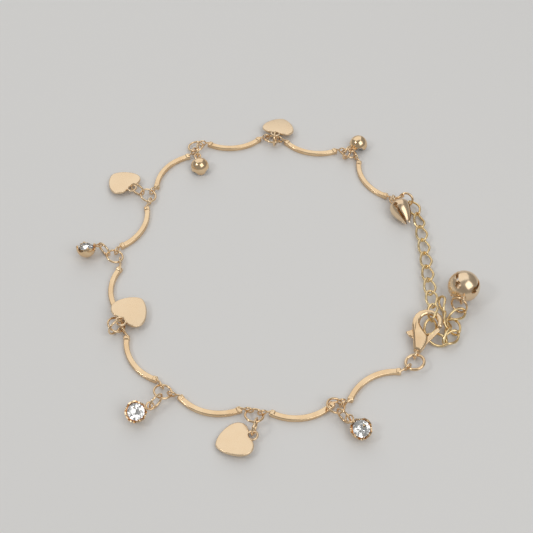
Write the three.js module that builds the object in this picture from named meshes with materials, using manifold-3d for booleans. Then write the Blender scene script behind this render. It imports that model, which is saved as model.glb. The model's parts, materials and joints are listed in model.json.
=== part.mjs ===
// A bar-link anklet lying in a loop on a flat surface.
// Ten bowed bars are joined by jump rings, which carry four hearts and five claw-set crystals in turn.
// A lobster clasp on the first bar holds a link of the extender chain, and two slotted jingle bells hang
// from the chain's ends. Lengths are millimetres, +Z is up, and angles are degrees in plan from +X.
import * as THREE from "three";
import { mergeVertices } from "three/addons/utils/BufferGeometryUtils.js";
import Module from "manifold-3d";

const wasm = await Module();
wasm.setup();

const radians = THREE.MathUtils.degToRad;
const ballPoint = (radius, turn) => [radius * Math.cos(radians(turn)), radius * Math.sin(radians(turn))];

// Driving dimensions
const ringOuter = 4.55;
const ringWire = 0.46;
const dropOuter = 4.3;
const bar = {
  chord: 14.5, rise: 2.5, width: 1.3, thick: 1.1, corner: 0.3,
  capLength: 1.2, capWidth: 1.45, endWidth: 0.91, steps: 6,
};
const barEye = { outer: 2.35, wire: 0.44, reach: 1.85, neck: 0.5, neckInside: 0.6, sides: 8 };
const heart = {
  width: 9.0, length: 7.8, thick: 0.6, edge: 0.15,
  lugOuter: 2.8, hole: 1.75, holeToNotch: 0.7,
};
const setting = {
  radius: 2.5, depth: 2.7, wall: 0.35, rim: 0.35, prongWidth: 0.9, prongLift: 0.13,
  notchDepth: 1.3, eyeOuter: 2.1, eyeWire: 0.42, eyeInside: 0.15,
};
const stone = { girdle: 1.98, table: 1.15, crown: 0.7, girdleThick: 0.12, pavilion: 1.75 };
const link = { length: 5.23, width: 3.3, wire: 0.55, twist: 42, fuse: 0.22 };
const clasp = {
  thick: 2.3, hoopThick: 1.1, edge: 0.35, slot: 1.15, slotBottom: 1.8, slotTop: 6.1, leverThick: 0.6,
  pivotX: 0.2, pivotY: 3.2, pin: 0.8, pinHole: 1.3, eyeOuter: 2.5, eyeWire: 0.55,
};
const claspRing = { outer: 5.0, wire: 0.7 };
const bellRing = { outer: 4.2, wire: 0.62 };
const endRing = { outer: 4.6, wire: 0.5 };
// A bell's skin is given as radius and height about its middle, from its foot up.
const smallBell = {
  skin: [
    [0, -4.5], [0.55, -4.3], [1.35, -3.2], [2.05, -2.0], [2.5, -0.7],
    [2.7, 0.5], [2.2, 1.6], [1.3, 2.35], [0, 2.6],
  ],
  wall: 0.45, slit: 0.7, slitTop: 0.9, slitHole: 1.2, slitTurn: -2,
  shankOuter: 2.3, shankWire: 0.5, shankHeight: 3.4,
};
const largeBell = {
  skin: [-90, -70, -50, -30, -10, 10, 30, 50, 70, 90].map((turn) => ballPoint(3.9, turn)),
  wall: 0.5, slit: 0.7, slitTop: 2.4, slitHole: 1.5, slitTurn: 48,
  shankOuter: 2.5, shankWire: 0.5, shankHeight: 4.65,
};
const roundSides = 12;
const ringSides = 10;
const wireSides = 5;
const bellHoleSides = 6;
const wireGap = 0.16;
const dropGap = 0.21;
const floorGap = 0.02;

// Where each bar lies: the middle of its chord, the way it runs, and the side it bows to (1 is outwards).
const bars = [
  { x: 25.15, y: -35.1, heading: 212, bow: -1 },
  { x: 8.0, y: -40.7, heading: 189, bow: 1 },
  { x: -12.8, y: -39.4, heading: 167, bow: 1 },
  { x: -29.3, y: -27.5, heading: 124, bow: 1 },
  { x: -36.1, y: -8.25, heading: 96.5, bow: 1 },
  { x: -34.8, y: 12.55, heading: 67, bow: -1 },
  { x: -25.6, y: 32.15, heading: 55, bow: 1 },
  { x: -9.1, y: 43.9, heading: 8, bow: -1 },
  { x: 12.5, y: 42.0, heading: 346, bow: -1 },
  { x: 29.1, y: 29.5, heading: 298, bow: -1 },
];

// What hangs from the ring after each bar. The ring's middle lies to one side of the two eyes and rises
// that way; hook is where on it the drop ring hooks, drop the way the drop ring runs from there and
// heading the way the charm points. Its face leans by tilt towards lean. A charm rests on the flat, or is
// lifted above it where it lies on a bar or a ring.
const charms = [
  { kind: "crystal", side: 205, rise: 17, hook: 291, drop: 314, heading: 317, tilt: 12, lean: 270 },
  { kind: "heart", side: 285, rise: 17, hook: 282, drop: 253, heading: 197, tilt: 9, lean: 110, lifted: 0.15 },
  { kind: "crystal", side: 252, rise: 17, hook: 252, drop: 231, heading: 206, tilt: 22, lean: 300 },
  { kind: "heart", side: 245, rise: 17, hook: 236, drop: 45, heading: 58, tilt: 13, lean: 2, lifted: 1.2 },
  { kind: "crystal", side: 205, rise: 17, hook: 157, drop: 138, heading: 205, tilt: 30, lean: 90 },
  { kind: "heart", side: 155, rise: 17, hook: 155, drop: 153, heading: 134, tilt: 8, lean: 120, lifted: 0.4 },
  { kind: "crystal", side: 145, rise: -10, hook: 290, drop: 272, heading: 282, tilt: 167, lean: 85 },
  { kind: "heart", side: 287, rise: 17, hook: 282, drop: 83, heading: 74, tilt: 14, lean: 75, lifted: 0.1 },
  { kind: "crystal", side: 230, rise: 17, hook: 228, drop: 50, heading: 52, tilt: 168, lean: 270 },
];

const claspTail = { x: 35.1, y: -27.0, heading: 68, rise: 8 };

// The chain's links from the one that the clasp holds: up to the bells' ring, and out along the free tail.
// Heading is the way a link runs and roll turns it about that way.
const claspedLink = { x: 40.03, y: -16.04, z: 2.84 };
const upperLinks = [
  { heading: 82, roll: -48 },
  { heading: 88, climb: -12, roll: -30 },
  { heading: 90, climb: -7 },
  { heading: 89, climb: -3 },
  { heading: 90 },
  { heading: 92 },
  { heading: 92 },
  { heading: 94, climb: 2, roll: 19 },
  { heading: 111, climb: 2.5, roll: -13 },
];
const tailLinks = [
  { heading: 255, climb: -29, roll: 5 },
  { heading: 326, climb: 11.5, roll: 24 },
  { heading: 40, climb: -3, roll: 8 },
  { heading: 107, climb: -1, roll: -14 },
  { heading: 32, roll: -6 },
];
const spurLinks = [
  { heading: 71, climb: 3, roll: 84 },
  { heading: 97, roll: 61 },
  { heading: 92, climb: 3, roll: 98 },
];
const spurFrom = 2;

const gold = { color: 0xe6c79a, roughness: 0.25, metalness: 1.0 };
const paleGold = { color: 0xecd3ab, roughness: 0.3, metalness: 1.0 };
const crystalClear = { color: 0xf2f2f4, roughness: 0.03, metalness: 0.0 };

const anklet = new THREE.Group();
const vector = (x, y, z) => new THREE.Vector3(x, y, z);
const flat = (heading) => vector(Math.cos(radians(heading)), Math.sin(radians(heading)), 0);
const leaning = (tilt, lean) =>
  flat(lean).multiplyScalar(Math.sin(radians(tilt))).setZ(Math.cos(radians(tilt)));

function add(name, geometry, finish) {
  const mesh = new THREE.Mesh(geometry, new THREE.MeshStandardMaterial(finish));
  mesh.name = name;
  anklet.add(mesh);
  return mesh;
}

// Puts a mesh at a point with its z axis along zAxis and its x axis as near xHint as that leaves.
function place(mesh, origin, zAxis, xHint) {
  const z = zAxis.clone().normalize();
  const x = xHint.clone().addScaledVector(z, -xHint.dot(z)).normalize();
  const y = z.clone().cross(x);
  mesh.quaternion.setFromRotationMatrix(new THREE.Matrix4().makeBasis(x, y, z));
  mesh.position.copy(origin);
  return mesh;
}

// Solids for joining and cutting
function toSolid(geometry) {
  const bare = (geometry.index ? geometry : mergeVertices(geometry)).clone();
  bare.deleteAttribute("normal");
  bare.deleteAttribute("uv");
  const merged = mergeVertices(bare, 1e-5);
  const mesh = new wasm.Mesh({
    numProp: 3,
    vertProperties: new Float32Array(merged.attributes.position.array),
    triVerts: new Uint32Array(merged.index.array),
  });
  mesh.merge();
  return new wasm.Manifold(mesh);
}

function fromSolid(solid) {
  const mesh = solid.simplify(0.01).getMesh();
  const geometry = new THREE.BufferGeometry();
  geometry.setAttribute("position", new THREE.BufferAttribute(new Float32Array(mesh.vertProperties), 3));
  geometry.setIndex(new THREE.BufferAttribute(new Uint32Array(mesh.triVerts), 1));
  return geometry;
}

const join = (...pieces) => pieces.map(toSolid).reduce((whole, piece) => whole.add(piece));
const cut = (solid, ...tools) => tools.map(toSolid).reduce((whole, tool) => whole.subtract(tool), solid);

// A ring of round wire about the z axis. A length over its width stretches it along x into a link,
// and a twist turns its two ends opposite ways about x, as in a curb chain.
function wireRing(outer, wire, { length = outer, twist = 0, stations = ringSides } = {}) {
  const geometry = new THREE.TorusGeometry((outer - wire) / 2, wire / 2, wireSides, stations);
  const stretch = (length - outer) / 2;
  const spots = geometry.attributes.position;
  const point = new THREE.Vector3();
  for (let i = 0; i < spots.count; i += 1) {
    const around = ((i % (stations + 1)) / stations) * 2 * Math.PI;
    point.fromBufferAttribute(spots, i);
    point.x += stretch * Math.cos(around);
    point.applyAxisAngle(vector(1, 0, 0), radians(twist) * (point.x / (length / 2)));
    spots.setXYZ(i, point.x, point.y, point.z);
  }
  return geometry;
}

// A closed skin over rows of points, with a flat cap on the first row and the last.
function loft(rows) {
  const count = rows[0].length;
  const points = rows.flat();
  const triangles = [];
  for (let row = 0; row + 1 < rows.length; row += 1) {
    for (let i = 0; i < count; i += 1) {
      const [a, b] = [row * count + i, row * count + ((i + 1) % count)];
      triangles.push(a, b, b + count, a, b + count, a + count);
    }
  }
  const last = (rows.length - 1) * count;
  for (let i = 1; i + 1 < count; i += 1) {
    triangles.push(0, i + 1, i, last, last + i, last + i + 1);
  }
  const geometry = new THREE.BufferGeometry().setFromPoints(points);
  geometry.setIndex(triangles);
  return geometry;
}

// The bar: its chord lies along x with its underside at z = 0, and it bows towards -y.
function barGeometry() {
  const half = bar.chord / 2;
  const radius = (half * half + bar.rise * bar.rise) / (2 * bar.rise);
  const sweep = Math.asin(half / radius);
  const section = (along, across, width, angle) => {
    const [w, t, c] = [width / 2, bar.thick / 2, bar.corner];
    const outline = [
      [-w, -t + c], [-w + c, -t], [w - c, -t], [w, -t + c],
      [w, t - c], [w - c, t], [-w + c, t], [-w, t - c],
    ];
    return outline.map(([side, lift]) =>
      vector(along - side * Math.sin(angle), across + side * Math.cos(angle), lift + bar.thick / 2));
  };
  const capShare = bar.capLength / (sweep * radius);
  const shares = [-1, -1 + capShare * 0.5, -1 + capShare];
  for (let i = 1; i < bar.steps; i += 1) shares.push((-1 + capShare) * (1 - (2 * i) / bar.steps));
  shares.push(1 - capShare, 1 - capShare * 0.5, 1);
  const rows = shares.map((share) => {
    const angle = share * sweep;
    const capped = Math.abs(share) > 1 - capShare * 0.75;
    const fullWidth = capped ? bar.capWidth : bar.width;
    const width = Math.abs(share) === 1 ? bar.endWidth : fullWidth;
    return section(radius * Math.sin(angle), (radius - bar.rise) - radius * Math.cos(angle), width, angle);
  });
  const pieces = [loft(rows)];
  for (const side of [-1, 1]) {
    const neckLength = barEye.reach - (barEye.outer - barEye.wire) / 2 + barEye.neckInside;
    const neck = new THREE.CylinderGeometry(barEye.neck / 2, barEye.neck / 2, neckLength, wireSides);
    neck.rotateZ(Math.PI / 2);
    neck.translate(side * (half + neckLength / 2 - barEye.neckInside), 0, barEye.outer / 2);
    const eye = wireRing(barEye.outer, barEye.wire, { stations: barEye.sides });
    eye.rotateX(Math.PI / 2);
    eye.translate(side * (half + barEye.reach), 0, barEye.outer / 2);
    pieces.push(neck, eye);
  }
  return fromSolid(join(...pieces));
}

// The ten bars, and the centres of their eyes
const barShape = barGeometry();
const eyes = bars.map(({ x, y, heading, bow }, index) => {
  const along = flat(heading);
  const middle = vector(x, y, 0);
  const mesh = add(`bar_${index + 1}`, barShape, gold);
  // Turned about z only, so that the flat underside stays down.
  place(mesh, middle, vector(0, 0, 1), flat(heading + (bow > 0 ? 180 : 0)));
  const reach = bar.chord / 2 + barEye.reach;
  const lift = vector(0, 0, barEye.outer / 2);
  return {
    first: middle.clone().addScaledVector(along, -reach).add(lift),
    last: middle.clone().addScaledVector(along, reach).add(lift),
  };
});

// A jump ring through two points, with its middle off the line between them towards the given side.
function jumpRing(name, from, to, side, outer, wire) {
  const radius = (outer - wire) / 2;
  const across = to.clone().sub(from);
  const half = Math.min(across.length() / 2, radius);
  const aside = side.clone().addScaledVector(across, -side.dot(across) / across.lengthSq()).normalize();
  const centre = from.clone().lerp(to, 0.5).addScaledVector(aside, Math.sqrt(radius * radius - half * half));
  const axis = across.clone().cross(aside).normalize();
  if (axis.z < 0) axis.negate();
  place(add(name, wireRing(outer, wire), gold), centre, axis, across);
  return { centre, axis, radius };
}

// A heart: the hole of its lug is at the origin and the tip points along x.
function heartGeometry() {
  const half = heart.width / 2;
  const notch = heart.holeToNotch;
  const tip = notch + heart.length;
  const outline = new THREE.Shape();
  outline.moveTo(notch + 0.35, 0);
  outline.bezierCurveTo(notch - 1.1, half * 0.45, notch - 0.1, half * 0.99, notch + 2.1, half);
  outline.bezierCurveTo(notch + 4.3, half, tip - 0.2, half * 0.42, tip, 0);
  outline.bezierCurveTo(tip - 0.2, -half * 0.42, notch + 4.3, -half, notch + 2.1, -half);
  outline.bezierCurveTo(notch - 0.1, -half * 0.99, notch - 1.1, -half * 0.45, notch + 0.35, 0);
  const depth = heart.thick - 2 * heart.edge;
  const plate = new THREE.ExtrudeGeometry(outline, {
    depth,
    curveSegments: 6,
    bevelThickness: heart.edge,
    bevelSize: heart.edge,
    bevelOffset: -heart.edge,
    bevelSegments: 1,
  });
  plate.translate(0, 0, -depth / 2);
  const lug = new THREE.CylinderGeometry(heart.lugOuter / 2, heart.lugOuter / 2, heart.thick, roundSides + 2);
  const hole = new THREE.CylinderGeometry(heart.hole / 2, heart.hole / 2, heart.thick * 3, roundSides);
  lug.rotateX(Math.PI / 2);
  hole.rotateX(Math.PI / 2);
  return fromSolid(cut(join(plate, lug), hole));
}

// A claw setting: its eye is at the origin, its open face looks along z and its body lies along x.
const eyeToSetting = setting.radius + setting.eyeOuter / 2 - setting.eyeInside;
function settingGeometry() {
  const { radius, depth, wall, rim } = setting;
  const outside = [[0, -depth], [radius * 0.6, -depth * 0.9], [radius * 0.9, -depth * 0.5], [radius, rim]];
  const inside = [[radius - wall, rim], [radius * 0.86 - wall, -depth * 0.5], [0, -depth + wall]];
  const profile = [...outside, ...inside].map(([r, z]) => new THREE.Vector2(r, z));
  const cup = new THREE.LatheGeometry(profile, roundSides);
  cup.rotateX(Math.PI / 2);
  const notches = [45, 135].map((turn) => {
    const wide = 2 * radius * Math.sin(Math.PI / 4) - setting.prongWidth * 1.2;
    const notch = new THREE.BoxGeometry(3 * radius, wide, 2 * setting.notchDepth);
    notch.translate(0, 0, rim);
    notch.rotateZ(radians(turn));
    return notch;
  });
  const prongs = [0, 90, 180, 270].map((turn) => {
    const tip = new THREE.SphereGeometry(setting.prongWidth / 2, 6, 3);
    tip.scale(0.9, 1, 0.7);
    tip.translate(radius - wall * 0.75, 0, rim + setting.prongLift);
    tip.rotateZ(radians(turn));
    return tip;
  });
  const eye = wireRing(setting.eyeOuter, setting.eyeWire);
  eye.translate(-eyeToSetting, 0, 0);
  const body = fromSolid(cut(join(cup), ...notches));
  const whole = fromSolid(join(body, eye, ...prongs));
  whole.translate(eyeToSetting, 0, 0);
  return whole;
}

// A brilliant: eight-sided table, star and kite facets to a sixteen-sided girdle, and a point below.
function stoneGeometry() {
  const { girdle, table, crown, girdleThick, pavilion } = stone;
  const ring = (count, radius, z, turn = 0) => Array.from({ length: count }, (_, i) => {
    const angle = ((i + turn) / count) * 2 * Math.PI;
    return vector(radius * Math.cos(angle), radius * Math.sin(angle), z);
  });
  const tableRing = ring(8, table, crown, 0.5);
  const kiteRing = ring(8, (table + girdle) / 2 + 0.12, crown * 0.52);
  const upper = ring(16, girdle, girdleThick / 2);
  const lower = ring(16, girdle, -girdleThick / 2);
  const mains = ring(8, girdle * 0.42, -pavilion * 0.62, 0.5);
  const points = [...tableRing, ...kiteRing, ...upper, ...lower, ...mains, vector(0, 0, -pavilion)];
  const [t, k, u, l, m, culet] = [0, 8, 16, 32, 48, 56];
  const triangles = [];
  for (let i = 0; i < 8; i += 1) {
    const [next, before] = [(i + 1) % 8, (i + 7) % 8];
    const at = 2 * i;
    if (i > 0 && i < 7) triangles.push(t, t + i, t + i + 1);
    triangles.push(t + before, k + i, t + i);
    triangles.push(t + i, k + i, u + at + 1, t + i, u + at + 1, k + next);
    triangles.push(k + i, u + at, u + at + 1, k + i, u + ((at + 15) % 16), u + at);
    triangles.push(m + i, l + at + 1, l + at, m + i, l + ((at + 2) % 16), l + at + 1);
    triangles.push(m + i, l + at, m + before, m + before, culet, m + i);
  }
  for (let i = 0; i < 16; i += 1) {
    const next = (i + 1) % 16;
    triangles.push(u + i, l + i, l + next, u + i, l + next, u + next);
  }
  const geometry = new THREE.BufferGeometry().setFromPoints(points);
  geometry.setIndex(triangles);
  geometry.translate(eyeToSetting, 0, 0);
  return geometry;
}

// How high a shape's origin is when it rests on the flat with its face this way.
function restingHeight(geometry, face, along) {
  const turned = place(new THREE.Object3D(), vector(0, 0, 0), face, along);
  turned.updateMatrix();
  const placed = geometry.clone().applyMatrix4(turned.matrix);
  placed.computeBoundingBox();
  return floorGap - placed.boundingBox.min.z;
}

// The junction rings, each leaning up towards its charm, with the drop rings standing on edge
const heartShape = heartGeometry();
const settingShape = settingGeometry();
const stoneShape = stoneGeometry();
charms.forEach(({ kind, side, rise, hook, drop, heading, tilt, lean, lifted = 0 }, index) => {
  const number = index + 1;
  const rising = flat(side).multiplyScalar(Math.cos(radians(rise))).setZ(Math.sin(radians(rise)));
  const ring = jumpRing(`ring_${number}`, eyes[index].last, eyes[index + 1].first, rising, ringOuter, ringWire);
  const hookWay = flat(hook).addScaledVector(ring.axis, -flat(hook).dot(ring.axis)).normalize();
  const hooked = ring.centre.clone().addScaledVector(hookWay, ring.radius);
  const along = flat(drop);
  const standing = dropOuter / 2 + floorGap;
  const dropRadius = (dropOuter - ringWire) / 2;
  const inside = dropRadius - ringWire - dropGap;
  const dropCentre = hooked.clone().addScaledVector(along, Math.sqrt(inside ** 2 - (standing - hooked.z) ** 2));
  dropCentre.setZ(standing);
  const dropRing = add(`${kind}_ring_${number}`, wireRing(dropOuter, ringWire), gold);
  place(dropRing, dropCentre, flat(drop + 90), along);
  const face = leaning(tilt, lean);
  const points = flat(heading);
  const height = lifted + restingHeight(kind === "heart" ? heartShape : settingShape, face, points);
  const reach = Math.sqrt(dropRadius ** 2 - (standing - height) ** 2);
  const hole = dropCentre.clone().addScaledVector(along, reach).setZ(height);
  if (kind === "heart") {
    place(add(`heart_${number}`, heartShape, paleGold), hole, face, points);
  } else {
    place(add(`setting_${number}`, settingShape, gold), hole, face, points);
    place(add(`stone_${number}`, stoneShape, crystalClear), hole, face, points);
  }
});

// The clasp's hook: its tail eye's middle is at the origin and it runs up y, with its nose on the right.
function claspBodyGeometry() {
  const { thick, hoopThick, edge } = clasp;
  const outline = new THREE.Shape();
  outline.moveTo(-0.75, 0.95);
  outline.quadraticCurveTo(-1.9, 4.3, -3.1, 7.1);
  outline.bezierCurveTo(-3.9, 9.8, -2.6, 12.3, 0.3, 12.35);
  outline.bezierCurveTo(2.9, 12.45, 3.9, 10.6, 3.55, 8.85);
  outline.lineTo(2.65, 8.65);
  outline.bezierCurveTo(2.7, 10.1, 2.0, 11.3, 0.3, 11.3);
  outline.bezierCurveTo(-1.5, 11.3, -2.0, 9.5, -1.6, 7.8);
  outline.quadraticCurveTo(-0.6, 6.5, 1.0, 5.35);
  outline.quadraticCurveTo(2.0, 4.0, 0.75, 0.95);
  const depth = thick - 2 * edge;
  const solid = new THREE.ExtrudeGeometry(outline, {
    depth,
    curveSegments: 5,
    bevelThickness: edge,
    bevelSize: edge,
    bevelOffset: -edge,
    bevelSegments: 1,
  });
  solid.translate(0, 0, -depth / 2);
  // The hook grows thinner from the body to the hoop.
  const spots = solid.attributes.position;
  for (let i = 0; i < spots.count; i += 1) {
    const share = THREE.MathUtils.smoothstep(spots.getY(i), 5.5, 9.8);
    spots.setZ(i, spots.getZ(i) * THREE.MathUtils.lerp(1, hoopThick / thick, share));
  }
  const slot = new THREE.BoxGeometry(12, clasp.slotTop - clasp.slotBottom, clasp.slot);
  slot.translate(0, (clasp.slotTop + clasp.slotBottom) / 2, 0);
  const pin = new THREE.CylinderGeometry(clasp.pin / 2, clasp.pin / 2, thick - 2 * edge, 10);
  pin.rotateX(Math.PI / 2);
  pin.translate(clasp.pivotX, clasp.pivotY, 0);
  const eye = wireRing(clasp.eyeOuter, clasp.eyeWire);
  eye.rotateY(Math.PI / 2);
  const body = fromSolid(cut(join(solid), slot));
  return fromSolid(join(body, pin, eye));
}

// The clasp's lever: a hub on the pin, a gate that closes the hook and a thumb tab on the other side.
function claspLeverGeometry() {
  const { pivotX, pivotY, leverThick } = clasp;
  const outline = new THREE.Shape();
  outline.moveTo(pivotX + 0.2, pivotY - 1.15);
  outline.lineTo(1.35, 3.1);
  outline.lineTo(3.52, 7.95);
  outline.lineTo(2.83, 8.42);
  outline.lineTo(1.0, 4.95);
  outline.lineTo(0.1, 4.3);
  outline.lineTo(-1.9, 5.1);
  outline.lineTo(-2.7, 5.8);
  outline.lineTo(-3.9, 4.85);
  outline.lineTo(-2.9, 4.1);
  outline.lineTo(-2.1, 4.0);
  outline.lineTo(pivotX - 1.05, pivotY - 0.4);
  outline.closePath();
  const lever = new THREE.ExtrudeGeometry(outline, { depth: leverThick, bevelEnabled: false });
  lever.translate(0, 0, -leverThick / 2);
  const hole = new THREE.CylinderGeometry(clasp.pinHole / 2, clasp.pinHole / 2, 3, 10);
  hole.rotateX(Math.PI / 2);
  hole.translate(pivotX, pivotY, 0);
  return fromSolid(cut(join(lever), hole));
}

const claspAt = vector(claspTail.x, claspTail.y, clasp.eyeOuter / 2 + floorGap);
const claspFace = leaning(claspTail.rise, claspTail.heading + 180);
const claspAcross = flat(claspTail.heading - 90);
place(add("clasp_body", claspBodyGeometry(), gold), claspAt, claspFace, claspAcross);
place(add("clasp_lever", claspLeverGeometry(), gold), claspAt, claspFace, claspAcross);
jumpRing("clasp_ring", claspAt, eyes[0].first, vector(1, -0.6, 0.3), claspRing.outer, claspRing.wire);

// A run of links whose end bends meet and are soldered. Climb is how steeply a link rises along its way.
const linkEnd = (link.length - link.wire) / 2;
const wayOf = ({ heading, climb = 0 }) =>
  flat(heading).multiplyScalar(Math.cos(radians(climb))).setZ(Math.sin(radians(climb)));
function chainRun(start, rows) {
  const step = linkEnd - link.wire / 2 + link.fuse / 2;
  const centre = start.clone();
  let last = null;
  return rows.map((row) => {
    const along = wayOf(row);
    if (last) centre.addScaledVector(last, step).addScaledVector(along, step);
    const face = vector(0, 0, 1).applyAxisAngle(along, radians(row.roll ?? 0));
    // The link's length goes exactly along its way, so its face is squared to that.
    face.addScaledVector(along, -face.dot(along));
    const holder = place(new THREE.Object3D(), centre, face, along);
    holder.updateMatrix();
    const shape = wireRing(link.width, link.wire, { length: link.length, twist: link.twist });
    last = along;
    return { shape: shape.applyMatrix4(holder.matrix), centre: centre.clone(), along };
  });
}

// A link hooks the next piece with a gap: from its middle to the middle of the wire that it holds
const hookReach = (wire) => linkEnd - (link.wire + wire) / 2 - wireGap;
const upperRun = chainRun(vector(claspedLink.x, claspedLink.y, claspedLink.z), upperLinks);
add("extender_run", fromSolid(join(...upperRun.map((piece) => piece.shape))), gold);

const tailStart = upperRun[0].centre.clone().addScaledVector(upperRun[0].along, -hookReach(link.wire));
tailStart.addScaledVector(wayOf(tailLinks[0]), linkEnd);
const tailRun = chainRun(tailStart, tailLinks);
const spurAt = tailRun[spurFrom].centre.clone().addScaledVector(tailRun[spurFrom].along, -linkEnd);
const spurRun = chainRun(spurAt.addScaledVector(wayOf(spurLinks[0]), linkEnd - 0.1), spurLinks);
add("extender_tail", fromSolid(join(...[...tailRun, ...spurRun].map((piece) => piece.shape))), gold);

// A bell: a hollow skin with its loop up z. Two crossed slits split it into four petals below round holes.
function bellGeometry(bell) {
  const profile = bell.skin.map(([r, z]) => new THREE.Vector2(r, z));
  const widest = Math.max(...bell.skin.map(([r]) => r));
  const shell = new THREE.LatheGeometry(profile, roundSides);
  shell.rotateX(Math.PI / 2);
  const hollow = shell.clone().scale(...Array(3).fill(1 - bell.wall / widest));
  const slits = [0, 90].flatMap((turn) => {
    const depth = 2 * widest;
    const slot = new THREE.BoxGeometry(3 * widest, bell.slit, depth);
    slot.translate(0, 0, bell.slitTop - depth / 2);
    const hole = new THREE.CylinderGeometry(bell.slitHole / 2, bell.slitHole / 2, 3 * widest, bellHoleSides);
    hole.rotateZ(Math.PI / 2);
    hole.translate(0, 0, bell.slitTop);
    return [slot, hole].map((tool) => tool.rotateZ(radians(bell.slitTurn + turn)));
  });
  const loop = wireRing(bell.shankOuter, bell.shankWire);
  loop.rotateX(Math.PI / 2);
  loop.translate(0, 0, bell.shankHeight);
  return fromSolid(join(fromSolid(cut(join(shell), hollow, ...slits)), loop));
}

// Hangs a bell by the middle of its loop. The way runs from the bell to its loop.
function hangBell(name, bell, shankAt, shankWay, loopTurn) {
  const centre = shankAt.clone().addScaledVector(shankWay, -bell.shankHeight);
  const across = vector(0, 0, 1).applyAxisAngle(shankWay, radians(loopTurn));
  place(add(name, bellGeometry(bell), gold), centre, shankWay, across);
}

const upperEnd = upperRun[upperRun.length - 1];
const chainHook = upperEnd.centre.clone().addScaledVector(upperEnd.along, hookReach(bellRing.wire));
const smallShank = vector(33.96, 20.02, 3.44);
const smallShankWay = vector(-0.395, 0.909, 0.24).normalize();
jumpRing("bell_ring_1", eyes[bars.length - 1].last, smallShank, flat(19), bellRing.outer, bellRing.wire);
hangBell("small_bell", smallBell, smallShank, smallShankWay, -35);
// The second ring goes through the chain's last link and hooks the first ring.
const secondWay = vector(-0.816, 0.481, 0.32).normalize();
const secondCentre = chainHook.clone().addScaledVector(secondWay, (bellRing.outer - bellRing.wire) / 2);
const secondRing = add("bell_ring_2", wireRing(bellRing.outer, bellRing.wire), gold);
place(secondRing, secondCentre, vector(-0.324, -0.839, 0.437), secondWay);

const tailEnd = tailRun[tailRun.length - 1];
const endHook = tailEnd.centre.clone().addScaledVector(tailEnd.along, hookReach(endRing.wire));
const largeShank = vector(47.2, -13.57, 4.71);
const largeShankWay = vector(-0.221, -0.961, 0.169).normalize();
jumpRing("end_ring", endHook, largeShank, flat(141), endRing.outer, endRing.wire);
hangBell("large_bell", largeBell, largeShank, largeShankWay, -14);

// The row's origin is under the middle of the whole, on the flat that it lies on.
anklet.updateMatrixWorld(true);
const box = new THREE.Box3().setFromObject(anklet, true);
const origin = box.getCenter(vector(0, 0, 0)).setZ(box.min.z);
for (const mesh of anklet.children) mesh.position.sub(origin);

export default anklet;
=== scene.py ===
import json
import math

import bpy
import numpy as np
from mathutils import Matrix, Vector

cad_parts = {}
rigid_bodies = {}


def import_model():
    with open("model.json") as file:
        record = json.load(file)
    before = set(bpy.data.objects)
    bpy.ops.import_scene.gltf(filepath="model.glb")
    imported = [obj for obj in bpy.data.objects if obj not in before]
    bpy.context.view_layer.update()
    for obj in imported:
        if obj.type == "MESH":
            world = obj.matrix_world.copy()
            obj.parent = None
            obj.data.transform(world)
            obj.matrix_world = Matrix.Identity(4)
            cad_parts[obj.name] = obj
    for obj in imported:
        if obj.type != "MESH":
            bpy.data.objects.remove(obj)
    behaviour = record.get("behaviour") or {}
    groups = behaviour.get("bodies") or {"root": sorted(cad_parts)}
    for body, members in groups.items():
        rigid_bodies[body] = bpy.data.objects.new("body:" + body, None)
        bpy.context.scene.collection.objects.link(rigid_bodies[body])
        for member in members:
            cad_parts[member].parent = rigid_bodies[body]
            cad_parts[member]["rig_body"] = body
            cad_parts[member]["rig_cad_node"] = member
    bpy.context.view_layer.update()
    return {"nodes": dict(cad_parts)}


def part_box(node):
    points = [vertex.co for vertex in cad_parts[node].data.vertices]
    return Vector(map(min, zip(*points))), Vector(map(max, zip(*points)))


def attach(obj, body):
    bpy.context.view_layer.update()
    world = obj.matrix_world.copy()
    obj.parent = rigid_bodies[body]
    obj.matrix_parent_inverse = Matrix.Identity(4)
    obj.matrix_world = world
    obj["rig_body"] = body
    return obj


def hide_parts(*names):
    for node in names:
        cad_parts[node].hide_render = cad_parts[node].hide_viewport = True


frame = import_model()
mm = 0.001
up = Vector((0, 0, 1))
print("frame loaded with", len(frame["nodes"]), "nodes")


# Everyday steps

def deselectAll():
    if bpy.context.mode != "OBJECT":
        bpy.ops.object.mode_set(mode="OBJECT")
    bpy.ops.object.select_all(action="DESELECT")


def hold(piece):  # the one piece that the next operator acts on
    deselectAll()
    piece.select_set(True)
    bpy.context.view_layer.objects.active = piece
    return piece


def bake(piece):  # its place goes into its mesh
    hold(piece)
    bpy.ops.object.transform_apply(location=True, rotation=True, scale=True)
    return piece


def startEditing(piece, select="SELECT"):
    hold(piece)
    bpy.ops.object.mode_set(mode="EDIT")
    bpy.ops.mesh.select_all(action=select)


def stopEditing():
    bpy.ops.object.mode_set(mode="OBJECT")


def facesOut(piece):
    startEditing(piece)
    bpy.ops.mesh.remove_doubles(threshold=0.0005 * mm)
    bpy.ops.mesh.normals_make_consistent(inside=False)
    stopEditing()
    return piece


def applied(piece, kind, **settings):
    modifier = hold(piece).modifiers.new(kind.lower(), kind)
    for name, value in settings.items():
        setattr(modifier, name, value)
    bpy.ops.object.modifier_apply(modifier=modifier.name)
    return piece


def fused(piece, *others):
    for other in others:
        applied(piece, "BOOLEAN", object=other, operation="UNION", solver="EXACT")
        bpy.data.objects.remove(other)
    return piece


def cutAway(piece, *tools):
    for tool in tools:
        applied(piece, "BOOLEAN", object=tool, operation="DIFFERENCE", solver="EXACT")
        bpy.data.objects.remove(tool)
    return piece


def softEdges(piece, degrees=35):
    hold(piece)
    bpy.ops.object.shade_smooth_by_angle(angle=math.radians(degrees))
    return piece


# Where the frame's nodes lie

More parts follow.
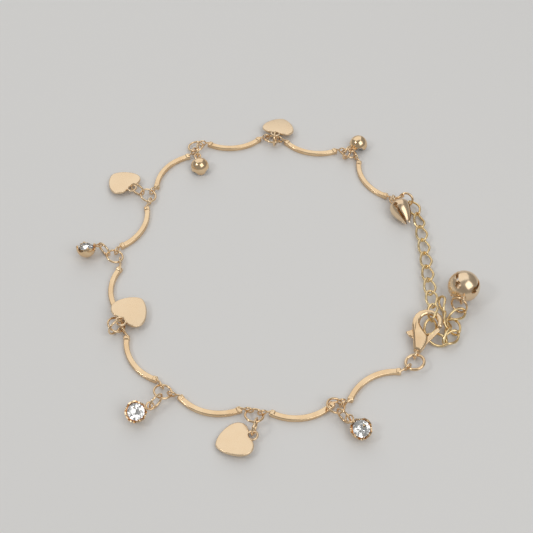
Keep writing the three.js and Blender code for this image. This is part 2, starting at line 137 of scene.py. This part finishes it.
def cornersOf(node):
    points = np.array([v.co for v in frame["nodes"][node].data.vertices], float)
    return np.unique(points.round(8), axis=0)


def thinWay(points):  # the direction in which they spread least
    return Vector(np.linalg.eigh(np.cov((points - points.mean(0)).T))[1][:, 0])


def farthest(points, start, slack=1e-6 * mm):  # the middle of the points farthest from start
    reach = np.linalg.norm(points - np.array(start), axis=1)
    return Vector(points[reach > reach.max() - slack].mean(0))


def poseAt(origin, xWay, zWay):
    z = zWay.normalized()
    x = (xWay - z * xWay.dot(z)).normalized()
    return Matrix.Translation(origin) @ Matrix((x, z.cross(x), z)).transposed().to_4x4()


def setDown(model, name, pose, finish, node):
    hold(model)
    bpy.ops.object.duplicate(linked=False)
    piece = bpy.context.object
    piece.name = piece.data.name = name
    piece.matrix_world = pose @ piece.matrix_world
    bake(piece)
    wear(piece, finish)
    handOver(piece, node)


def wear(piece, *finishes):
    piece.data.materials.clear()
    for finish in finishes:
        piece.data.materials.append(finish)


def handOver(piece, node, body="anklet"):
    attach(piece, body)
    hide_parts(node)


def copyOf(node, name):  # the frame's own piece is left alone
    source = frame["nodes"][node]
    piece = source.copy()
    piece.data = source.data.copy()
    bpy.context.scene.collection.objects.link(piece)
    piece.parent = None
    piece.name = piece.data.name = name
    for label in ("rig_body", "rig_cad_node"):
        del piece[label]
    return facesOut(piece)


# Finishes

class Channel:  # one output of a node, so that sums are written as sums
    def __init__(self, finish, socket):
        self.finish = finish
        self.socket = socket

    def maths(self, operation, first, second):
        return self.finish.node("ShaderNodeMath", {"operation": operation}, {0: first, 1: second})

    def __add__(self, other):
        return self.maths("ADD", self, other)

    def __radd__(self, other):
        return self.maths("ADD", other, self)

    def __sub__(self, other):
        return self.maths("SUBTRACT", self, other)

    def __mul__(self, other):
        return self.maths("MULTIPLY", self, other)


class Finish:
    def __init__(self, name):
        self.material = bpy.data.materials.new(name)
        self.material.use_nodes = True
        self.tree = self.material.node_tree
        self.tree.nodes.clear()

    def node(self, kind, settings, sockets, output=0):
        made = self.tree.nodes.new(kind)
        for name, value in settings.items():
            setattr(made, name, value)
        for name, value in sockets.items():
            if isinstance(value, Channel):
                self.tree.links.new(value.socket, made.inputs[name])
            else:
                made.inputs[name].default_value = value
        return Channel(self, made.outputs[output])

    def blendOf(self, share, first, second):
        settings = {"data_type": "RGBA", "blend_type": "MIX"}
        return self.node("ShaderNodeMix", settings, {0: share, 6: first, 7: second}, 2)

    def surface(self, sockets):
        shader = self.node("ShaderNodeBsdfPrincipled", {}, sockets)
        made = self.tree.nodes.new("ShaderNodeOutputMaterial")
        self.tree.links.new(shader.socket, made.inputs["Surface"])
        return self.material


goldTints = {  # bright and deep
    "plain": ((0.91, 0.69, 0.44, 1), (0.83, 0.59, 0.35, 1)),
    "heart": ((0.91, 0.71, 0.48, 1), (0.88, 0.67, 0.44, 1)),
    "chain": ((0.91, 0.73, 0.42, 1), (0.82, 0.60, 0.31, 1)),
    "bell": ((0.90, 0.71, 0.49, 1), (0.81, 0.60, 0.39, 1)),
}
goldLook = {
    "patch": 260,      # clouding, per metre
    "grain": 3200,     # fine unevenness of the plating
    "scratch": 9000,   # hairlines left by polishing
    "scratchTurn": (0.3, 0.2, 0.7), "scratchStretch": (1, 0.06, 1),
    "cloudFrom": 0.35, "cloudTo": 0.65, "cloudRoughness": 0.12,
    "bump": 0.35, "relief": 0.03,
}


def goldFinish(name, tint="plain", rough=0.16, ripple=0.05, hairline=0.03):
    look = goldLook
    bright, deep = goldTints[tint]
    finish = Finish(name)
    place = finish.node("ShaderNodeTexCoord", {}, {}, "Object")
    cloud = finish.node("ShaderNodeTexNoise", {}, {"Vector": place, "Scale": look["patch"], "Detail": 3.0})
    grain = finish.node("ShaderNodeTexNoise", {}, {"Vector": place, "Scale": look["grain"], "Detail": 4.0})
    stretched = finish.node("ShaderNodeMapping", {}, {
        "Vector": place, "Rotation": look["scratchTurn"], "Scale": look["scratchStretch"],
    })
    hairs = finish.node("ShaderNodeTexNoise", {}, {
        "Vector": stretched, "Scale": look["scratch"], "Detail": 2.0,
    })
    shade = finish.node("ShaderNodeMapRange", {}, {
        "Value": cloud, "From Min": look["cloudFrom"], "From Max": look["cloudTo"],
    })
    tone = finish.blendOf(shade, deep, bright)
    roughness = rough + (cloud - 0.5) * look["cloudRoughness"] + (hairs - 0.5) * hairline * 2
    height = grain * ripple + hairs * hairline
    bump = finish.node("ShaderNodeBump", {}, {
        "Height": height, "Strength": look["bump"], "Distance": look["relief"] * mm,
    })
    return finish.surface({"Base Color": tone, "Metallic": 1.0, "Roughness": roughness, "Normal": bump})


barGold = goldFinish("polished gold bar")
wireGold = goldFinish("drawn gold wire", rough=0.14)
heartGold = goldFinish("satin gold heart", "heart", rough=0.30, ripple=0.08, hairline=0.08)
settingGold = goldFinish("gold setting", rough=0.15)
chainGold = goldFinish("gold chain", "chain")
claspGold = goldFinish("cast gold clasp", rough=0.2, ripple=0.1)
bellGold = goldFinish("gold bell", "bell", rough=0.22)

stoneLook = {
    "refraction": 1.55, "glass": (1, 1, 1, 1), "glassWear": 1500.0, "glassRoughness": 0.03,
    "foil": (0.97, 0.97, 0.96, 1), "dull": (0.88, 0.88, 0.87, 1), "foilWear": 1200.0,
    "foilRoughness": 0.05, "foilUnevenness": 0.08,
}


def stoneFinishes():
    look = stoneLook
    glass = Finish("clear cut stone")
    place = glass.node("ShaderNodeTexCoord", {}, {}, "Object")
    haze = glass.node("ShaderNodeTexNoise", {}, {"Vector": place, "Scale": look["glassWear"], "Detail": 3.0})
    clear = glass.surface({
        "Base Color": look["glass"], "Roughness": haze * look["glassRoughness"], "IOR": look["refraction"],
        "Transmission Weight": 1.0,
    })
    foil = Finish("silver foil under the stone")
    place = foil.node("ShaderNodeTexCoord", {}, {}, "Object")
    haze = foil.node("ShaderNodeTexNoise", {}, {"Vector": place, "Scale": look["foilWear"], "Detail": 3.0})
    silver = foil.surface({
        "Base Color": foil.blendOf(haze, look["dull"], look["foil"]), "Metallic": 1.0,
        "Roughness": look["foilRoughness"] + haze * look["foilUnevenness"],
    })
    return clear, silver


clearStone, silverFoil = stoneFinishes()
print("finishes made")


# Jump rings: round wire bent until its two ends meet

ringSizes = {
    "kinds": {  # outer diameter and wire
        "junction": (4.61, 0.52), "drop": (4.36, 0.52), "clasp": (5.0, 0.7),
        "bell": (4.2, 0.62), "end": (4.65, 0.55),
    },
    "sides": 16, "steps": 56, "jointDegrees": 1.6,
}


def jumpRing(outer, wire):
    deselectAll()
    bpy.ops.mesh.primitive_circle_add(
        vertices=ringSizes["sides"], radius=wire / 2 * mm, fill_type="NGON",
        location=((outer - wire) / 2 * mm, 0, 0), rotation=(math.pi / 2, 0, 0))
    ring = bake(bpy.context.object)
    startEditing(ring)
    bent = math.radians(360 - ringSizes["jointDegrees"])
    bpy.ops.mesh.spin(steps=ringSizes["steps"], angle=bent, center=(0, 0, 0), axis=(0, 0, 1))
    stopEditing()
    return softEdges(facesOut(ring), 50)


def poseOfRing(node):  # the joint is turned up
    points = cornersOf(node)
    return poseAt(Vector(points.mean(0)), up, thinWay(points))


def ringPieces():
    models = {kind: jumpRing(*size) for kind, size in ringSizes["kinds"].items()}
    wanted = {"clasp_ring": "clasp", "bell_ring_1": "bell", "bell_ring_2": "bell", "end_ring": "end"}
    for node in frame["nodes"]:
        if node.startswith("ring_"):
            wanted[node] = "junction"
        elif node.startswith(("heart_ring_", "crystal_ring_")):
            wanted[node] = "drop"
    for node, kind in sorted(wanted.items()):
        setDown(models[kind], f"{node}_wire", poseOfRing(node), wireGold, node)
    return list(models.values())


models = ringPieces()
print("rings set down")


# Bars: a bowed strip with a cap, a stem and an eye at each end

barSizes = {
    "chord": 14.5, "rise": 2.5, "width": 1.3, "thick": 1.1, "corner": 0.22,
    "capLength": 1.15, "capWidth": 1.5, "capThick": 1.32, "capCorner": 0.3,
    "capLift": 0.02, "eye": 2.35, "eyeWire": 0.44, "reach": 1.85, "stem": 0.5, "stemInside": 0.7,
}


def boxPiece(size, location, rotation=(0, 0, 0), corner=0.0):
    deselectAll()
    bpy.ops.mesh.primitive_cube_add(size=1, location=Vector(location) * mm, rotation=rotation)
    piece = bpy.context.object
    piece.scale = Vector(size) * mm
    bake(piece)
    if corner:
        startEditing(piece)
        bpy.ops.mesh.bevel(offset=corner * mm, segments=4, affect="EDGES")
        stopEditing()
    return piece


def rod(radius, length, location, rotation, sides=32):
    deselectAll()
    bpy.ops.mesh.primitive_cylinder_add(
        vertices=sides, radius=radius * mm, depth=length * mm,
        location=Vector(location) * mm, rotation=rotation)
    return bake(bpy.context.object)


def closedRing(outer, wire, location, rotation=(0, 0, 0)):
    deselectAll()
    bpy.ops.mesh.primitive_torus_add(
        major_segments=40, minor_segments=14, major_radius=(outer - wire) / 2 * mm, minor_radius=wire / 2 * mm,
        location=Vector(location) * mm, rotation=rotation)
    return bake(bpy.context.object)


def barModel():
    size = barSizes
    half = size["chord"] / 2
    radius = (half ** 2 + size["rise"] ** 2) / (2 * size["rise"])
    sweep = math.asin(half / radius)
    centre = Vector((0, radius - size["rise"], 0))
    deselectAll()
    bpy.ops.mesh.primitive_plane_add(size=1, rotation=(0, math.pi / 2, 0))
    bar = bpy.context.object
    bar.scale = (size["thick"] * mm, size["width"] * mm, 1)
    bake(bar)
    startEditing(bar)
    bpy.ops.mesh.bevel(offset=size["corner"] * mm, segments=4, affect="VERTICES")
    stopEditing()
    start = Matrix.Rotation(-sweep, 4, "Z") @ Matrix.Translation((0, -radius * mm, size["thick"] / 2 * mm))
    bar.matrix_world = Matrix.Translation(centre * mm) @ start
    bake(bar)
    startEditing(bar)
    bpy.ops.mesh.spin(steps=30, angle=-2 * sweep, center=centre * mm, axis=(0, 0, 1))
    stopEditing()
    facesOut(bar)
    others = []
    along = sweep - size["capLength"] / 2 / radius
    capBox = (size["capLength"], size["capWidth"], size["capThick"])
    capHeight = size["capThick"] / 2 + size["capLift"]
    stemLength = size["reach"] - (size["eye"] - size["eyeWire"]) / 2 + size["stemInside"]
    stemMiddle = half + stemLength / 2 - size["stemInside"]
    for side in (-1, 1):
        cap = centre + Vector((side * radius * math.sin(along), -radius * math.cos(along), capHeight))
        stem = (side * stemMiddle, 0, size["eye"] / 2)
        eye = (side * (half + size["reach"]), 0, size["eye"] / 2)
        others.append(boxPiece(capBox, cap, (0, 0, side * along), size["capCorner"]))
        others.append(rod(size["stem"] / 2, stemLength, stem, (0, math.pi / 2, 0)))
        others.append(closedRing(size["eye"], size["eyeWire"], eye, (math.pi / 2, 0, 0)))
    fused(bar, *others)
    return softEdges(bar)


def poseOfBar(node):  # its chord along x, bowed to -y
    points = cornersOf(node)
    first = farthest(points, points.mean(0))
    second = farthest(points, first)
    middle = (first + second) / 2
    middle.z = 0
    along = (second - first).normalized()
    bow = Vector(points.mean(0)) - middle
    if up.cross(along).dot(bow) > 0:
        along.negate()
    return poseAt(middle, along, up)


bar = barModel()
for number in range(1, 11):
    setDown(bar, f"bowed_bar_{number}", poseOfBar(f"bar_{number}"), barGold, f"bar_{number}")
models.append(bar)
print("bars set down")


# Hearts: a thin plate with a rounded rim and a lug

heartSizes = {
    "width": 9.0, "length": 7.8, "thick": 0.58, "lug": 2.8, "hole": 1.75, "holeToNotch": 0.7, "lugDrop": 0.06,
    # along from the notch, and across as a share of half the width; the foot's is along from the tip
    "dip": (0.35, 0), "lobe": (-1.1, 0.45), "shoulder": (-0.1, 0.99), "widest": (2.1, 1), "flank": (4.3, 1),
    "foot": (-0.2, 0.42),
    "grain": 0.1, "smoothing": 8, "domeMiddle": 4.2, "domeRadius": 40,
    "tipSlack": 0.02, "lugSlack": 0.05,  # corners this much nearer still count as the farthest
}


def heartModel():
    size = heartSizes
    half = size["width"] / 2
    notch = size["holeToNotch"]
    tip = notch + size["length"]
    deselectAll()
    bpy.ops.curve.primitive_bezier_circle_add(radius=1)
    heart = bpy.context.object

    def at(start, offset, side):
        along, across = size[offset]
        return start + along, side * half * across

    outline = [  # a corner between its two handles, from the notch round by one side to the tip and back
        (at(notch, "lobe", -1), at(notch, "dip", 1), at(notch, "lobe", 1)),
        (at(notch, "shoulder", 1), at(notch, "widest", 1), at(notch, "flank", 1)),
        (at(tip, "foot", 1), (tip, 0), at(tip, "foot", -1)),
        (at(notch, "flank", -1), at(notch, "widest", -1), at(notch, "shoulder", -1)),
    ]
    curve = heart.data
    for point, (left, place, right) in zip(curve.splines[0].bezier_points, outline):
        point.handle_left_type = point.handle_right_type = "FREE"
        point.handle_left = (left[0] * mm, left[1] * mm, 0)
        point.co = (place[0] * mm, place[1] * mm, 0)
        point.handle_right = (right[0] * mm, right[1] * mm, 0)
    curve.dimensions = "2D"
    curve.fill_mode = "BOTH"
    curve.splines[0].resolution_u = 24
    curve.extrude = size["thick"] / 2 * mm
    bpy.ops.object.convert(target="MESH")
    heart = facesOut(bpy.context.object)
    applied(heart, "REMESH", mode="VOXEL", voxel_size=size["grain"] * mm)
    applied(heart, "SMOOTH", factor=0.5, iterations=size["smoothing"])
    # domed a little: drawn halfway towards a wide ball, after its thickness is doubled to make up for that
    deselectAll()
    bpy.ops.object.empty_add(location=(size["domeMiddle"] * mm, 0, -size["domeRadius"] * mm))
    ball = bpy.context.object
    heart.scale.z = 2
    bake(heart)
    applied(heart, "CAST", object=ball, factor=0.5, size=size["domeRadius"] * mm, use_radius_as_size=False)
    bpy.data.objects.remove(ball)
    wire = (size["lug"] - size["hole"]) / 2
    lug = closedRing(size["lug"], wire, (0, 0, -size["lugDrop"]))
    return softEdges(fused(heart, lug), 50)


def poseOfHeart(node):  # the lug's hole at the origin, the tip along x
    points = cornersOf(node)
    tip = farthest(points, points.mean(0), heartSizes["tipSlack"] * mm)
    lug = farthest(points, tip, heartSizes["lugSlack"] * mm)
    along = (tip - lug).normalized()
    face = thinWay(points)
    if face.z < 0:
        face.negate()
    reach = heartSizes["holeToNotch"] + heartSizes["length"]
    return poseAt(tip - along * reach * mm, along, face)


heart = heartModel()
for number in (2, 4, 6, 8):
    node = f"heart_{number}"
    setDown(heart, f"heart_charm_{number}", poseOfHeart(node), heartGold, node)
models.append(heart)
print("hearts set down")


# Crystals: a foiled brilliant in a cup with four claws

settingSizes = {
    "radius": 2.5, "depth": 2.7, "rim": 0.35, "wall": 0.32, "gapLift": 0.02,
    "claw": 1.7, "clawReach": 2.2, "clawHeight": 0.42,
    "clawTip": 0.33, "clawShape": (0.95, 0.86, 1.05), "clawLean": 28,
    "eye": 2.1, "eyeWire": 0.42, "eyeToStone": 3.4, "pavilion": 1.75, "foiledBelow": -0.1,
}


def settingModel():
    size = settingSizes
    deselectAll()
    bpy.ops.mesh.primitive_uv_sphere_add(segments=48, ring_count=28, radius=size["radius"] * mm)
    cup = bpy.context.object
    cup.scale.z = size["depth"] / size["radius"]
    bake(cup)
    startEditing(cup)
    bpy.ops.mesh.bisect(plane_co=(0, 0, size["rim"] * mm), plane_no=(0, 0, 1), clear_outer=True)
    stopEditing()
    cup.location = Vector((size["eyeToStone"], 0, 0)) * mm
    bake(cup)
    facesOut(cup)
    applied(cup, "SOLIDIFY", thickness=size["wall"] * mm, offset=-1)
    # U-shaped gaps between the claws
    gap = (math.sqrt(2) * size["radius"] - size["claw"]) / 2
    gapMiddle = (size["eyeToStone"], 0, size["rim"] + size["gapLift"])
    turns = [math.radians(45 + 90 * i) for i in range(2)]
    cutAway(cup, *[rod(gap, 3 * size["radius"], gapMiddle, (math.pi / 2, 0, turn), 40) for turn in turns])
    claws = []
    for i in range(4):
        turn = math.radians(90 * i)
        deselectAll()
        bpy.ops.mesh.primitive_uv_sphere_add(segments=20, ring_count=12, radius=size["clawTip"] * mm)
        claw = bpy.context.object
        claw.scale = size["clawShape"]
        bake(claw)
        claw.rotation_euler = (0, -math.radians(size["clawLean"]), turn)
        along = size["eyeToStone"] + size["clawReach"] * math.cos(turn)
        claw.location = Vector((along, size["clawReach"] * math.sin(turn), size["clawHeight"])) * mm
        claws.append(bake(claw))
    eye = closedRing(size["eye"], size["eyeWire"], (0, 0, 0))
    return softEdges(fused(cup, *claws, eye), 40)


def cutStone(number, pose):
    node = f"stone_{number}"
    stone = copyOf(node, f"cut_stone_{number}")
    bpy.ops.object.shade_flat()
    wear(stone, clearStone, silverFoil)
    face = pose.to_3x3().col[2]
    for polygon in stone.data.polygons:
        polygon.material_index = 1 if polygon.normal.dot(face) < settingSizes["foiledBelow"] else 0
    handOver(stone, node)


def roundAxis(points):  # the axis of a round shape: the direction whose spread differs from the other two
    spreads, ways = np.linalg.eigh(np.cov((points - points.mean(0)).T))
    odd = 0 if spreads[1] - spreads[0] > spreads[2] - spreads[1] else 2
    return Vector(ways[:, odd])


def poseOfSetting(number):  # the eye at the origin, the stone along x and facing z
    points = cornersOf(f"stone_{number}")
    middle = Vector(points.mean(0))
    face = roundAxis(points)
    heights = (points - np.array(middle)) @ np.array(face)
    if heights.max() > -heights.min():  # the point of the stone lies farther off than its table
        face = -face
    culet = middle - face * abs(heights).max()
    centre = culet + face * settingSizes["pavilion"] * mm
    away = farthest(cornersOf(f"setting_{number}"), centre)
    along = centre - away
    along = (along - face * along.dot(face)).normalized()
    return poseAt(centre - along * settingSizes["eyeToStone"] * mm, along, face)


setting = settingModel()
for number in (1, 3, 5, 7, 9):
    pose = poseOfSetting(number)
    setDown(setting, f"claw_setting_{number}", pose, settingGold, f"setting_{number}")
    cutStone(number, pose)
models.append(setting)
print("crystals set down")


# The extender: twisted links, each through the next

chainSizes = {
    "length": 5.53, "width": 3.38, "wire": 0.63, "twist": 84, "pitch": 4.35, "reach": 2.34, "side": 0.1,
    "run": [  # heading, climb and roll of each link in degrees
        (82, 0, -48), (88, -12, -30), (90, -7, 0), (89, -3, 0), (90, 0, 0), (92, 0, 0), (92, 0, 0), (94, 2, 19),
        (111, 2.5, -13),
    ],
    "tail": [(255, -29, 5), (326, 11.5, 24), (40, -3, 8), (107, -1, -14), (32, 0, -6)],
    "spur": [(71, 3, 84), (97, 0, 61), (92, 3, 98)],
    "spurFrom": 2,
}


def linkModel():
    size = chainSizes
    deselectAll()
    bpy.ops.curve.primitive_bezier_circle_add(radius=1)
    link = bpy.context.object
    link.scale = ((size["length"] - size["wire"]) / 2 * mm, (size["width"] - size["wire"]) / 2 * mm, 1)
    bake(link)
    for point in link.data.splines[0].bezier_points:
        point.radius = 1
    link.data.dimensions = "3D"
    link.data.bevel_depth = size["wire"] / 2 * mm
    link.data.bevel_resolution = 4
    link.data.resolution_u = 12
    bpy.ops.object.convert(target="MESH")
    link = facesOut(bpy.context.object)
    applied(link, "SIMPLE_DEFORM", deform_method="TWIST", deform_axis="X", angle=math.radians(size["twist"]))
    return softEdges(link, 60)


def wayOf(heading, climb):
    heading, climb = math.radians(heading), math.radians(climb)
    return Vector((math.cos(heading) * math.cos(climb), math.sin(heading) * math.cos(climb), math.sin(climb)))


def linkPoses(start, rows):
    centre, last, poses = Vector(start), None, []
    for heading, climb, roll in rows:
        along = wayOf(heading, climb)
        if last:
            centre = centre + (last + along) * chainSizes["pitch"] / 2
        face = Matrix.Rotation(math.radians(roll), 3, along) @ up
        poses.append(poseAt(centre * mm, along, face))
        last = along
    return poses


def chainPiece(link, name, node, poses):
    parts = []
    for pose in poses:
        hold(link)
        bpy.ops.object.duplicate(linked=False)
        part = bpy.context.object
        part.matrix_world = pose
        parts.append(bake(part))
    deselectAll()
    for part in parts:
        part.select_set(True)
    bpy.context.view_layer.objects.active = parts[0]
    bpy.ops.object.join()
    chain = bpy.context.object
    chain.name = chain.data.name = name
    # laid over the frame's own run
    low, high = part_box(node)
    corners = [Vector(corner) for corner in chain.bound_box]
    middle = (Vector(map(min, *corners)) + Vector(map(max, *corners))) / 2
    chain.location = (low + high) / 2 - middle
    bake(chain)
    wear(chain, chainGold)
    handOver(chain, node)


link = linkModel()
chainPiece(link, "extender_links", "extender_run", linkPoses((0, 0, 0), chainSizes["run"]))
tailPoses = linkPoses((0, 0, 0), chainSizes["tail"])
spurRoot = tailPoses[chainSizes["spurFrom"]]
spurStart = spurRoot.translation / mm - spurRoot.to_3x3().col[0] * chainSizes["reach"]
spurStart += wayOf(*chainSizes["spur"][0][:2]) * (chainSizes["reach"] - chainSizes["side"])
chainPiece(link, "extender_end_links", "extender_tail", tailPoses + linkPoses(spurStart, chainSizes["spur"]))
models.append(link)
print("chain set down")


# Bells: a thin shell slit across its foot from hole to hole, with a loop on top

bellParts = {
    "slitLength": 12, "slitDepth": 10, "neckFoot": 0.75, "neckTop": 0.3, "neckHeight": 0.5, "neckLift": 0.05,
    # which of a bell's corners are the loop's, and which the body's
    "loopSpan": 1.4, "bodyBelow": 2.3, "rimSlack": 0.03,
}
bellSizes = {
    "small_bell": {
        "skin": [
            (0.3, -4.55), (0.75, -4.35), (1.4, -3.3), (2.1, -2.05), (2.6, -0.7),
            (2.75, 0.5), (2.45, 1.6), (1.6, 2.4), (0.7, 2.62),
        ],
        "wall": 0.4, "slit": 0.7, "slitTop": 0.9, "slitHole": 1.2, "slitTurn": -2,
        "loop": 2.3, "loopWire": 0.5, "loopHeight": 3.4, "hookedBy": "bell_ring_1",
    },
    "large_bell": {
        "skin": None, "radius": 3.9, "wall": 0.45, "slit": 0.7, "slitTop": 2.4, "slitHole": 1.5, "slitTurn": 48,
        "loop": 2.5, "loopWire": 0.5, "loopHeight": 4.65, "hookedBy": "end_ring",
    },
}


def ballSkin(radius):
    deselectAll()
    bpy.ops.mesh.primitive_uv_sphere_add(segments=96, ring_count=56, radius=radius * mm)
    return bpy.context.object


def dropSkin(rows):  # a disc drawn up through the rows of radius and height
    deselectAll()
    radius, height = rows[0]
    bpy.ops.mesh.primitive_circle_add(
        vertices=20, radius=radius * mm, fill_type="NGON", location=(0, 0, height * mm))
    skin = bake(bpy.context.object)
    startEditing(skin)
    for nextRadius, nextHeight in rows[1:]:
        bpy.ops.mesh.extrude_region_move(TRANSFORM_OT_translate={"value": (0, 0, (nextHeight - height) * mm)})
        share = nextRadius / radius
        bpy.ops.transform.resize(value=(share, share, 1), center_override=(0, 0, nextHeight * mm))
        radius, height = nextRadius, nextHeight
    stopEditing()
    facesOut(skin)
    return applied(skin, "SUBSURF", levels=3)


def bellModel(size):
    parts = bellParts
    bell = dropSkin(size["skin"]) if size["skin"] else ballSkin(size["radius"])
    applied(bell, "SOLIDIFY", thickness=size["wall"] * mm, offset=-1)
    top = max(corner.co.z for corner in bell.data.vertices) / mm
    for turn in (math.radians(size["slitTurn"] + 90 * i) for i in range(2)):
        slitBox = (parts["slitLength"], size["slit"], parts["slitDepth"])
        slit = boxPiece(slitBox, (0, 0, size["slitTop"] - parts["slitDepth"] / 2), (0, 0, turn))
        across = (math.pi / 2, 0, turn + math.pi / 2)
        hole = rod(size["slitHole"] / 2, parts["slitLength"], (0, 0, size["slitTop"]), across, 40)
        cutAway(bell, slit, hole)
    loop = closedRing(size["loop"], size["loopWire"], (0, 0, size["loopHeight"]), (math.pi / 2, 0, 0))
    deselectAll()
    bpy.ops.mesh.primitive_cone_add(
        vertices=32, radius1=parts["neckFoot"] * mm, radius2=parts["neckTop"] * mm,
        depth=parts["neckHeight"] * mm, location=(0, 0, (top + parts["neckLift"]) * mm))
    fused(bell, loop, bake(bpy.context.object))
    return softEdges(bell, 30)


def poseOfBell(node, size):  # the bell's middle at the origin, the loop above it
    points = cornersOf(node)
    middle = points.mean(0)
    hooked = points[np.linalg.norm(points - cornersOf(size["hookedBy"]).mean(0), axis=1).argmin()]
    height = (points - middle) @ (hooked - middle) / np.linalg.norm(hooked - middle)
    loop = points[height > height.max() - bellParts["loopSpan"] * mm]
    across = thinWay(loop)
    # the outermost corners of the loop lie in its plane, on a circle round its middle
    rim = loop[abs((loop - loop.mean(0)) @ np.array(across)) < bellParts["rimSlack"] * mm]
    around = rim - rim.mean(0)
    sums = np.hstack([2 * around, np.ones((len(rim), 1))])
    loopMiddle = rim.mean(0) + np.linalg.lstsq(sums, (around ** 2).sum(1), rcond=1e-5)[0][:3]
    body = points[height < height.max() - bellParts["bodyBelow"] * mm].mean(0)
    axis = Vector(loopMiddle - body)
    axis = (axis - across * axis.dot(across)).normalized()
    return poseAt(Vector(loopMiddle) - axis * size["loopHeight"] * mm, across.cross(axis), axis)


for node, size in bellSizes.items():
    bell = bellModel(size)
    setDown(bell, f"jingle_{node}", poseOfBell(node, size), bellGold, node)
    models.append(bell)
print("bells set down")


# The clasp: cast, tumbled and polished, so every edge is soft

# smoothing wears it thinner, and regrown puts that back
claspSizes = {"grain": 0.075, "smoothing": 6, "regrown": 0.06}


def castPiece(node, name, body):
    piece = copyOf(node, name)
    applied(piece, "REMESH", mode="VOXEL", voxel_size=claspSizes["grain"] * mm, use_smooth_shade=True)
    applied(piece, "SMOOTH", factor=0.5, iterations=claspSizes["smoothing"])
    applied(piece, "DISPLACE", strength=claspSizes["regrown"] * mm, mid_level=0)
    wear(piece, claspGold)
    handOver(piece, node, body)


castPiece("clasp_body", "clasp_hook", "anklet")
castPiece("clasp_lever", "clasp_gate", "lever")
print("clasp set down")

for model in models:
    bpy.data.objects.remove(model)


# Table, light and camera

studio = {
    "floor": (0.80, 0.79, 0.77, 1), "floorWidth": 3.0, "floorGrain": 300.0, "floorRoughness": 0.6,
    "floorUnevenness": 0.1, "ambient": (1.0, 1.0, 1.0, 1), "ambientPower": 0.3,
    "keyPlace": (-0.08, 0.4, 0.42), "keyWidth": 0.85, "keyPower": 1.5,
    "fillPlace": (0.26, -0.22, 0.42), "fillWidth": 0.42, "fillPower": 0.85,
    "sparkPlace": (-0.35, -0.1, 0.4), "sparkWidth": 0.1, "sparkPower": 0.3,
    "aim": (-1.813 * mm, -0.166 * mm, 0), "distance": 228.8 * mm, "elevation": 52.85, "lens": 36 * 900 / 533,
}


def floorPiece():
    deselectAll()
    bpy.ops.mesh.primitive_plane_add(size=studio["floorWidth"])
    floor = bpy.context.object
    floor.name = "table_top"
    finish = Finish("pale table top")
    place = finish.node("ShaderNodeTexCoord", {}, {}, "Object")
    grain = finish.node("ShaderNodeTexNoise", {}, {"Vector": place, "Scale": studio["floorGrain"]})
    roughness = studio["floorRoughness"] + grain * studio["floorUnevenness"]
    floor.data.materials.append(finish.surface({"Base Color": studio["floor"], "Roughness": roughness}))


def softBox(name, place, width, power):
    light = bpy.data.lights.new(name, "AREA")
    light.size, light.energy = width, power
    lamp = bpy.data.objects.new(name, light)
    bpy.context.scene.collection.objects.link(lamp)
    lamp.location = place
    lamp.rotation_euler = (-Vector(place)).to_track_quat("-Z", "Y").to_euler()


floorPiece()
for kind in ("key", "fill", "spark"):
    softBox(f"{kind}_light", studio[f"{kind}Place"], studio[f"{kind}Width"], studio[f"{kind}Power"])
world = bpy.data.worlds.new("studio")
world.use_nodes = True
background = world.node_tree.nodes["Background"]
background.inputs["Color"].default_value = studio["ambient"]
background.inputs["Strength"].default_value = studio["ambientPower"]
bpy.context.scene.world = world
bpy.context.scene.view_settings.view_transform = "Standard"

camera = bpy.data.objects.new("camera", bpy.data.cameras.new("camera"))
bpy.context.scene.collection.objects.link(camera)
lift = math.radians(studio["elevation"])
back = Vector((0, -math.cos(lift), math.sin(lift)))
camera.location = Vector(studio["aim"]) + back * studio["distance"]
camera.rotation_euler = (-back).to_track_quat("-Z", "Y").to_euler()
camera.data.lens = studio["lens"]
camera.data.clip_start, camera.data.clip_end = 0.01, 10
bpy.context.scene.camera = camera
print("studio set up")
